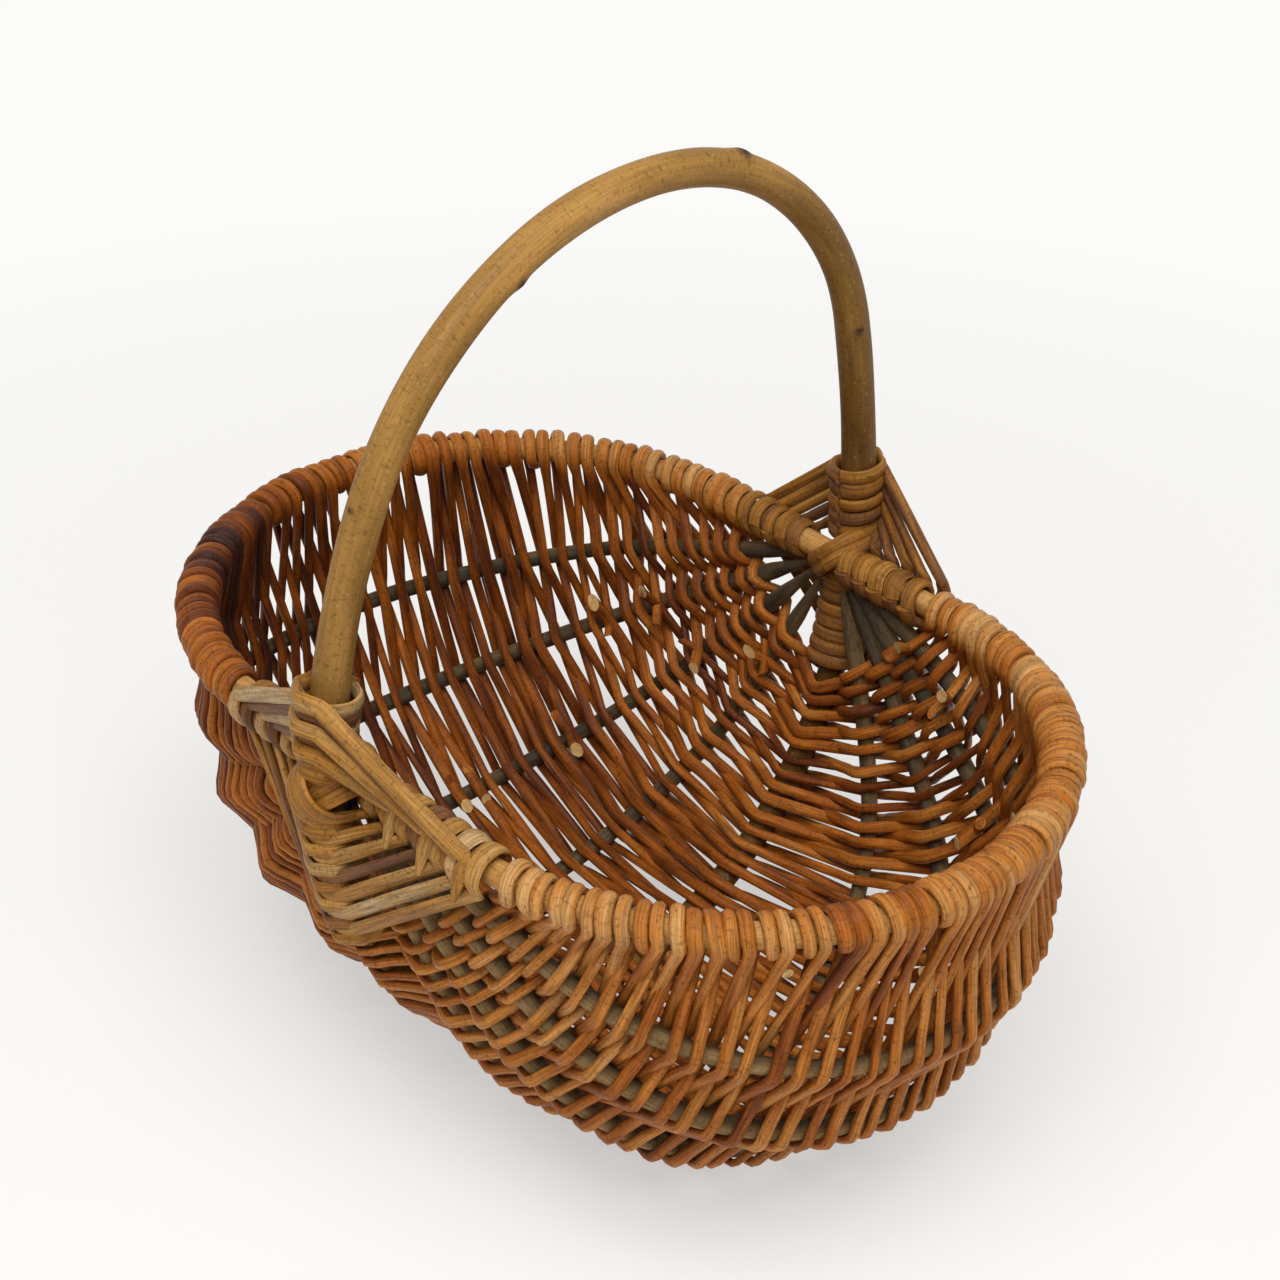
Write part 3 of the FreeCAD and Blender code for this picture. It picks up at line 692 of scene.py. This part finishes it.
# Weavers: thin willow rods with the bark on, in plain weave from rim to rim over and under ribs and
# keel. Each row turns back over the rim, flattened to a band there, some with a second turn to fill
# the rim. Where a rod runs out the next begins beside it, and both ends stand up inside.
ROWS = 94
WEAVER_PIECES = 25
WEAVER_RADIUS = 1.85
WEAVER_VARIETY = (0.9, 1.3)
WEAVER_TAPER = 0.82
WEAVER_WIDER, WEAVER_FLATTER = 1.06, 0.94
BAND_HALF_WIDTH = 2.5
BAND_HALF_THICK = 1.62
BAND_WIDTHS = (0.84, 1.14)
BAND_THICKNESSES = (0.85, 1.2)
BAND_UNDER = 0.3
BAND_STEP = math.pi / 5
# Shift and slant of a band along the rim, as shares of the room it has there
BAND_SHIFT = 0.12
BAND_SLANTS = (0.35, 0.95)
DOUBLE_SLANT = 0.7
LEG_SHARE = 0.2
# Where the weave starts on the rim right and left and on the keel, at the edges of the lashings
WEAVE_STARTS = {FRONT: (73.0, 62.0, 58.0), REAR: (49.0, 46.0, 52.0)}
WEAVE_EDGE_POWER = 1.15
WEAVE_SLACK = 9.0
WEAVE_SPACING = 3.6
WEAVER_SIDES = 10
SECOND_TURN_SHARE = 0.26
ROWS_PER_ROD = (2.2, 3.6)
# Rows stray from even spacing by so many mm of a weave of this length
STRAY = 1.1
WEAVE_LENGTH = 300
NEARBY = 0.002
# Rod ends stand in from the weave and on past the rib, and are cut at a slant
END_INWARD = (1.5, 3.5)
END_TAIL = (5.0, 9.0)
END_SET_BACK = 1.0
END_SLANTS = (0.6, 1.6)
stake_angles = [0.0, *RIB_ANGLES, 90.0, *(180 - angle for angle in reversed(RIB_ANGLES)), 180.0]
stake_quarters = [rim_quarter, *rib_quarters, keel_quarter, *reversed(rib_quarters), rim_quarter]
stake_radii = [RIM_RADIUS] + [RIB_RADIUS] * 4 + [KEEL_RADIUS] + [RIB_RADIUS] * 4 + [RIM_RADIUS]
LAST_STAKE = len(stake_angles) - 1
KEEL_STAKE = LAST_STAKE // 2
weave_chance = random.Random(31)


def weave_start(end, stake):
    """Distance from a crossing at which the weave begins on a stake."""
    turn = math.radians(stake_angles[stake])
    right_start, left_start, keel_start = WEAVE_STARTS[end]
    rim_start = right_start if math.cos(turn) > 0 else left_start
    level = (abs(math.cos(turn)) / rim_start) ** WEAVE_EDGE_POWER
    upright = (math.sin(turn) / keel_start) ** WEAVE_EDGE_POWER
    return (level + upright) ** (-1 / WEAVE_EDGE_POWER)


def stake_place(share, stake):
    """Distance along a stake of a row that is a share of the way from the front lashing to the rear."""
    front, rear = weave_start(FRONT, stake), weave_start(REAR, stake)
    return front + (2 * stake_quarters[stake].length - front - rear) * share


def stake_at(share, stake):
    """Centre and outward normal of a stake at a row's share of the way."""
    return meridian_at(stake_quarters[stake], stake_angles[stake], stake_place(share, stake))


row_shares = [(row + 0.5) / ROWS for row in range(ROWS)]
strays = {(row, stake): weave_chance.uniform(-STRAY, STRAY) / WEAVE_LENGTH
          for row in range(ROWS) for stake in range(LAST_STAKE + 1)}


def crossing(row, stake, radius):
    """Station of a row beside a rib or the keel, outside and inside by turns."""
    share = row_shares[row] + strays[row, stake]
    centre, outward = stake_at(share, stake)
    along = stake_at(share + NEARBY, stake)[0] - stake_at(share - NEARBY, stake)[0]
    across = stake_at(share, stake + 1)[0] - stake_at(share, stake - 1)[0]
    normal = along.cross(across).normalized()
    if normal.dot(outward) < 0:
        normal = -normal
    side = 1 if (row + stake) % 2 == 0 else -1
    reach = stake_radii[stake] + radius
    return Station(centre + normal * (side * reach), normal, radius * WEAVER_WIDER, radius * WEAVER_FLATTER)


def rim_turns(count):
    """For each turn over one side of the rim: its place as a share of the way, its turns and its room."""
    turns = [2 if weave_chance.random() < SECOND_TURN_SHARE else 1 for _ in range(count)]
    total = sum(turns)
    places = []
    passed = 0
    for number in turns:
        places.append(((passed + number / 2) / total, number, number / total))
        passed += number
    return places


def rim_band(stake, place, turns, room, entry, sense):
    """Stations of a flattened rod round the rim, from the entry angle in the given sense."""
    stations = []
    total = math.pi + 2 * BAND_UNDER + 2 * math.pi * (turns - 1)
    steps = round(total / BAND_STEP)
    half_width = BAND_HALF_WIDTH * weave_chance.uniform(*BAND_WIDTHS)
    half_thick = BAND_HALF_THICK * weave_chance.uniform(*BAND_THICKNESSES)
    place += weave_chance.uniform(-BAND_SHIFT, BAND_SHIFT) * room / turns
    slant = room * (weave_chance.uniform(*BAND_SLANTS) if turns == 1 else DOUBLE_SLANT)
    for step in range(steps + 1):
        share = step / steps
        centre, outward = stake_at(place + (share - 0.5) * slant, stake)
        turn = entry + sense * (total * share - BAND_UNDER)
        radial = outward * math.cos(turn) + Vector((0, 0, math.sin(turn)))
        stations.append(Station(centre + radial * (RIM_RADIUS + half_thick), radial, half_width, half_thick))
    return stations


def leg(beside, band_end):
    """Station just off the rim, where the band is a round rod again on its way to the next rib."""
    return beside._replace(point=band_end.point.lerp(beside.point, LEG_SHARE))


left_turns = rim_turns(ROWS // 2)
right_turns = rim_turns(ROWS // 2 + 1)
# Each stop on the way is a row, a stake and the stations there; row after row it is one long line
stops = [(0, 0, rim_band(0, *right_turns[0], math.pi, -1))]
for row in range(ROWS):
    outbound = row % 2 == 0
    for stake in (range(1, LAST_STAKE) if outbound else range(LAST_STAKE - 1, 0, -1)):
        stops.append((row, stake, None))
    if outbound:
        stops.append((row, LAST_STAKE, rim_band(LAST_STAKE, *left_turns[row // 2], 0.0, 1)))
    else:
        stops.append((row, 0, rim_band(0, *right_turns[row // 2 + 1], math.pi, -1)))

# Rods run out at a rib that they pass on the inside
joins = []
due = weave_chance.uniform(*ROWS_PER_ROD)
for number, (row, stake, band) in enumerate(stops):
    inside = band is None and (row + stake) % 2 == 1 and stake != KEEL_STAKE
    if inside and row + (stake if row % 2 == 0 else LAST_STAKE - stake) / LAST_STAKE >= due:
        joins.append(number)
        due += weave_chance.uniform(*ROWS_PER_ROD)
rod_bounds = [0] + joins + [len(stops) - 1]

# Rods differ in tone, and painted light and shade change them further by place. The rim is paler from just
# below its level, partly rubbed by hands and partly painted light from above, less so from its straight
# sides to its ends.
ROD_TONES = (0.25, 0.39, 0.47, 0.51, 0.53, 0.57, 0.63, 0.7)
RUBBED_LIT_DEPTH = 6
RUBBED_LIT_SIDES = 0.33
RUBBED_LIT_ENDS_LESS = 0.18
RUBBED_LIT_ENDS = (70, 120)
# Painted shade darkens the front left round a place on plan, fully so near it, and the rim there most
PAINTED_SHADE_X, PAINTED_SHADE_Y = -95, -85
PAINTED_SHADE_REACHES = (60, 150)
PAINTED_SHADE_RIM, PAINTED_SHADE_ALL = 0.24, 0.16
# Painted shade darkens the walls towards the left end
LEFT_PAINTED_SHADE = 0.1
LEFT_SHADE_REACHES = (40, 110)


def place_tone(point):
    """The rim paler, partly rubbed, partly painted light; painted shade on the front left and left end."""
    rim = rise(point.z, RIM_LEVEL - RUBBED_LIT_DEPTH, RIM_LEVEL)
    # The rim's paleness is partly rubbed by hands and partly painted light from above
    rubbed = RUBBED_LIT_SIDES - RUBBED_LIT_ENDS_LESS * rise(abs(point.x), *RUBBED_LIT_ENDS)
    # Painted shade round the front left
    front_left_shade = 1 - rise(math.hypot(point.x - PAINTED_SHADE_X, point.y - PAINTED_SHADE_Y), *PAINTED_SHADE_REACHES)
    # Painted shade on the walls towards the left end
    left = rise(-point.x, *LEFT_SHADE_REACHES)
    return rim * (rubbed - PAINTED_SHADE_RIM * front_left_shade) - PAINTED_SHADE_ALL * front_left_shade - LEFT_PAINTED_SHADE * (1 - rim) * left


# Brown willow bark, steamed with its bark on, is orange to red brown with a satin skin
brown_willow_bark = bark_finish("brown_willow_bark",
                                [(0.0, "#3f2219"), (0.25, "#733914"), (0.5, "#a65c1c"), (0.75, "#bf7b36"),
                                 (1.0, "#cc9a5e")],
                                fibre_width=0.6, fibre_depth=0.32, fibre_shade=0.54, patch_length=28.0,
                                speck_size=0.55, speck_colour="#3a1f12", speck_share=0.5, roughness=0.42)
bundles = [RodBundle("weavers %d" % number) for number in range(WEAVER_PIECES)]
for number, (first, last) in enumerate(zip(rod_bounds, rod_bounds[1:])):
    butt_radius = WEAVER_RADIUS * weave_chance.uniform(*WEAVER_VARIETY)
    tip_radius = WEAVER_TAPER * butt_radius
    stations = []
    for place in range(first, last + 1):
        row, stake, band = stops[place]
        if band:
            if stations:
                stations.append(leg(stations[-1], band[0]))
            stations += band
            continue
        radius = butt_radius + (tip_radius - butt_radius) * (place - first) / (last - first)
        here = crossing(row, stake, radius)
        if stations and stops[place - 1][2]:
            stations.append(leg(here, stations[-1]))
        stations.append(here)
    inward = weave_chance.uniform(*END_INWARD)
    tail = weave_chance.uniform(*END_TAIL)
    if first in joins:
        begin = stations[0]
        heading = (stations[1].point - begin.point).normalized()
        stations[0] = begin._replace(point=begin.point + heading * END_SET_BACK)
        stations.insert(0, begin._replace(point=begin.point - heading * tail - begin.normal * inward))
    if last in joins:
        finish = stations[-1]
        heading = (finish.point - stations[-2].point).normalized()
        stations.append(finish._replace(point=finish.point + heading * tail - finish.normal * inward))
    rod_tone = weave_chance.choice(ROD_TONES)
    slants = (weave_chance.uniform(-END_SLANTS[1], -END_SLANTS[0]), weave_chance.uniform(*END_SLANTS))
    # Each weaver is paler on its outer side and darker on its inner side, as painted light and shade
    bundles[number * WEAVER_PIECES // (len(rod_bounds) - 1)].add(
        smooth(taut(stations, WEAVE_SLACK), WEAVE_SPACING), lambda point: rod_tone + place_tone(point),
        WEAVER_SIDES, slants=slants, cuts=(True, False), weather=0.13)
for number, bundle in enumerate(bundles, start=1):
    bundle.build("weaver_rods_%02d" % number, brown_willow_bark, cut_willow, "weaver_bark",
                 "weaver_%02d" % number)

# Floor: a sheet of pale paper under the basket, wide enough to fill the view. It takes a soft
# shadow and pales into the backdrop.
FLOOR_HALF = 6.0
floor_mesh = bpy.data.meshes.new("paper_floor")
floor_mesh.from_pydata([(-FLOOR_HALF, -FLOOR_HALF, 0), (FLOOR_HALF, -FLOOR_HALF, 0),
                        (FLOOR_HALF, FLOOR_HALF, 0), (-FLOOR_HALF, FLOOR_HALF, 0)], [], [(0, 1, 2, 3)])
floor = bpy.data.objects.new("paper_floor", floor_mesh)
bpy.context.scene.collection.objects.link(floor)


def seen_share(tree):
    """1 for rays that show a thing to the camera, straight or in a shine, and 0 for those that light."""
    path = node(tree, "ShaderNodeLightPath")
    share = path.outputs["Is Camera Ray"]
    for ray in ("Is Glossy Ray", "Is Transmission Ray"):
        share = node(tree, "ShaderNodeMath", {0: share, 1: path.outputs[ray]}, operation="ADD").outputs[0]
    return share


# Matt paper is white and plain: it keeps half of its shading beside the basket and none further off
BACKDROP = srgb("#fcfbf9")
PAPER_NEAR, PAPER_FAR = 0.25, 0.75
PALE_NEAR, PALE_FAR = 0.5, 1.0
paper = bpy.data.materials.new("matt_paper")
paper.use_nodes = True
tree = paper.node_tree
tree.nodes.clear()
sheet = node(tree, "ShaderNodeBsdfDiffuse", {"Color": srgb("#f7f5f2")})
glow = node(tree, "ShaderNodeEmission", {"Color": BACKDROP, "Strength": 1.0})
spot = node(tree, "ShaderNodeNewGeometry").outputs["Position"]
off = node(tree, "ShaderNodeVectorMath", {0: spot}, operation="LENGTH").outputs["Value"]
pale = node(tree, "ShaderNodeMapRange", {"Value": off, "From Min": PAPER_NEAR, "From Max": PAPER_FAR,
                                         "To Min": PALE_NEAR, "To Max": PALE_FAR}).outputs["Result"]
pale = node(tree, "ShaderNodeMath", {0: pale, 1: seen_share(tree)}, operation="MULTIPLY").outputs[0]
paper_seen = node(tree, "ShaderNodeMixShader", {0: pale, 1: sheet.outputs[0], 2: glow.outputs[0]})
node(tree, "ShaderNodeOutputMaterial", {"Surface": paper_seen.outputs[0]})
floor_mesh.materials.append(paper)

# Studio light: a white tent all round, and one large soft lamp overhead, a little to the front right.
# The tent lights the basket dimly and shows to the camera as the plain backdrop.
TENT_STRENGTH = 0.34
LAMP_POWER = 27.0
LAMP_SIZE = 1.3
LAMP_PLACE = (0.5, -0.5, 1.55)
LAMP_TARGET = (0, 0, 0.12)
world = bpy.data.worlds.new("white_tent")
bpy.context.scene.world = world
world.use_nodes = True
tree = world.node_tree
tree.nodes.clear()
tent = node(tree, "ShaderNodeBackground", {"Color": srgb("#ffffff"), "Strength": TENT_STRENGTH})
backdrop = node(tree, "ShaderNodeBackground", {"Color": BACKDROP, "Strength": 1.0})
seen = node(tree, "ShaderNodeMixShader", {0: seen_share(tree), 1: tent.outputs[0], 2: backdrop.outputs[0]})
node(tree, "ShaderNodeOutputWorld", {"Surface": seen.outputs[0]})
lamp_data = bpy.data.lights.new("soft_lamp", "AREA")
lamp_data.energy = LAMP_POWER
lamp_data.size = LAMP_SIZE
lamp = bpy.data.objects.new("soft_lamp", lamp_data)
lamp.location = LAMP_PLACE
lamp.rotation_mode = "QUATERNION"
lamp.rotation_quaternion = (Vector(LAMP_TARGET) - lamp.location).to_track_quat("-Z", "Y")
bpy.context.scene.collection.objects.link(lamp)

# Camera at the photograph's place: above the front right, looking down at the rim's middle. The lens
# is shifted to set the basket in the picture as the photograph does.
CAMERA_AZIMUTH = math.radians(48.2)
CAMERA_ELEVATION = math.radians(32.3)
CAMERA_ROLL = math.radians(0.8)
CAMERA_DISTANCE = 864.0
camera_data = bpy.data.cameras.new("camera")
camera_data.sensor_width = 36.0
camera_data.lens = 73.04
camera_data.shift_x = 0.0219
camera_data.shift_y = 0.0133
camera_data.clip_start = 0.01
camera = bpy.data.objects.new("camera", camera_data)
back = Vector((math.sin(CAMERA_AZIMUTH) * math.cos(CAMERA_ELEVATION),
               -math.cos(CAMERA_AZIMUTH) * math.cos(CAMERA_ELEVATION), math.sin(CAMERA_ELEVATION)))
level = Vector((math.cos(CAMERA_AZIMUTH), math.sin(CAMERA_AZIMUTH), 0))
right = level * math.cos(CAMERA_ROLL) + back.cross(level) * math.sin(CAMERA_ROLL)
upward = back.cross(right)
camera_place = (BASKET_MIDDLE + back * CAMERA_DISTANCE) * MM
camera.matrix_world = (Matrix.Translation(camera_place)
                       @ Matrix((right, upward, back)).transposed().to_4x4())
bpy.context.scene.collection.objects.link(camera)
bpy.context.scene.camera = camera
bpy.context.scene.view_settings.view_transform = "Standard"
